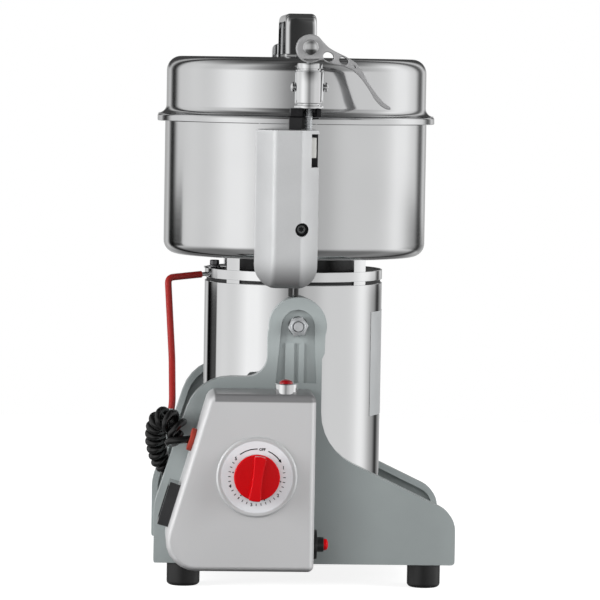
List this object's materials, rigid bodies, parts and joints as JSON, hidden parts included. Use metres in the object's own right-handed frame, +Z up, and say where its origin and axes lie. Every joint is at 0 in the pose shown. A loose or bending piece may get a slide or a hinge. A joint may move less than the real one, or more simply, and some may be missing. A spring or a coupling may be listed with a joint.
{
  "type": "electric grain mill",
  "caption": "Swing-type electric grain mill: steel grinding bowl with a clamped lid on a motor that tilts between two cast uprights, with a timer box.",
  "frame": {"origin": "where the mill's own axis, at rest, meets the surface that the four feet stand on", "axes": "+X to the right of someone facing the timer, +Y away from them, +Z up along the mill's axis"},
  "size_m": [0.2611, 0.3083, 0.4771],
  "materials": {
    "cast_enamel": "satin greenish grey enamel on cast aluminium, fine orange-peel texture",
    "box_silver": "satin silver paint",
    "cast_silver": "fine-textured silver powder coat on cast aluminium",
    "polished_steel": "mirror-polished stainless steel",
    "brushed_steel": "softly polished stainless steel with faint spun lines",
    "dark_steel": "zinc-plated or blackened steel",
    "black_plastic": "satin black moulding",
    "black_rubber": "black rubber",
    "black_paint": "black paint on cast aluminium",
    "red_plastic": "glossy red moulding",
    "red_lens": "translucent red lens",
    "white_plastic": "white moulding",
    "copper": "copper winding or bronze bush",
    "lamination_steel": "stacked steel laminations",
    "graphite": "carbon brushes in black holders"
  },
  "bodies": {
    "base": {"near_upright": "cast_enamel", "far_upright": "cast_enamel", "base_tray": "cast_enamel", "rubber_feet": "black_rubber", "base_screws": "dark_steel", "pivot_bushes": "copper", "timer_box": "box_silver", "box_screws": "dark_steel", "dial_plate": "box_silver", "timer_body": "white_plastic", "lamp_bezel": "polished_steel", "lamp_lens": "red_lens", "inlet_frame": "black_plastic", "inlet_pins": "brushed_steel", "overload_breaker": "black_plastic", "cord_grommet": "red_plastic"},
    "mill": {"pivot_studs": "dark_steel", "pivot_nuts": "brushed_steel", "motor_shell": "polished_steel", "bottom_cap": "black_paint", "stator": "lamination_steel", "field_coils": "copper", "lower_end_frame": "dark_steel", "upper_end_frame": "black_paint", "bearings": "brushed_steel", "brush_sets": "graphite", "vent_collar": "polished_steel", "collar_bolt": "dark_steel", "bowl": "brushed_steel", "spindle_seal": "black_rubber", "cast_handle": "cast_silver", "handle_screw": "black_plastic", "slide_rod": "dark_steel", "stop_bumper": "black_rubber", "cord_hook": "brushed_steel", "hook_sleeve": "red_plastic", "hinge_bracket": "brushed_steel", "hinge_pin": "dark_steel", "cord_lead": "black_rubber", "cord_coil": "black_rubber", "cord_tail": "black_rubber"},
    "lid": {"lid_shell": "brushed_steel", "lid_gasket": "white_plastic", "strap_handle": "polished_steel", "lid_hinge_arm": "brushed_steel", "latch_lug": "dark_steel", "latch_barrel": "polished_steel", "latch_washer": "polished_steel"},
    "catch_rod": {"latch_rod": "dark_steel"},
    "lever": {"cam_lever": "cast_silver", "cam_pin": "polished_steel"},
    "slide": {"release_slide": "white_plastic"},
    "plunger": {"interlock_plunger": "black_plastic"},
    "knob": {"timer_knob": "red_plastic", "timer_shaft": "brushed_steel"},
    "button": {"reset_button": "red_plastic"},
    "rotor": {"spindle": "brushed_steel", "armature": "copper", "cooling_fan": "black_plastic", "cutters": "brushed_steel"}
  },
  "joints": [
    {"name": "mill_swing", "type": "hinge", "parent": "base", "child": "mill", "pos_m": [0, 0, 0.217], "axis": [0, 1, 0], "range_deg": [0, 90], "deforming": ["cord_lead", "cord_coil", "cord_tail"]},
    {"name": "lid_swing", "type": "hinge", "parent": "mill", "child": "lid", "pos_m": [0, 0.128, 0.386], "axis": [-1, 0, 0], "range_deg": [0, 100]},
    {"name": "catch_rod_lift", "type": "slide", "parent": "lid", "child": "catch_rod", "axis": [0, 0, 1], "range_m": [-0.0012, 0]},
    {"name": "lever_swing", "type": "hinge", "parent": "catch_rod", "child": "lever", "pos_m": [0.0045, -0.127, 0.4474], "axis": [0, -1, 0], "range_deg": [0, 125]},
    {"name": "slide_release", "type": "slide", "parent": "mill", "child": "slide", "axis": [0, 0, -1], "range_m": [0, 0.007]},
    {"name": "plunger_rise", "type": "slide", "parent": "mill", "child": "plunger", "axis": [0, 0, 1], "range_m": [0, 0.003]},
    {"name": "timer_turn", "type": "hinge", "parent": "base", "child": "knob", "pos_m": [-0.0347, -0.157, 0.098], "axis": [0, 1, 0], "range_deg": [0, 300]},
    {"name": "button_press", "type": "slide", "parent": "base", "child": "button", "axis": [-1, 0, 0], "range_m": [0, 0.002], "stiffness_N_per_m": 300, "springref_m": -0.003},
    {"name": "rotor_spin", "type": "hinge", "parent": "mill", "child": "rotor", "pos_m": [0, 0, 0.25], "axis": [0, 0, 1], "continuous": true}
  ],
  "couplings": [
    {"joint": "catch_rod_lift", "follows": "lever_swing", "m_per_rad": -0.0005},
    {"joint": "plunger_rise", "follows": "lid_swing", "m_per_rad": 0.0017}
  ]
}
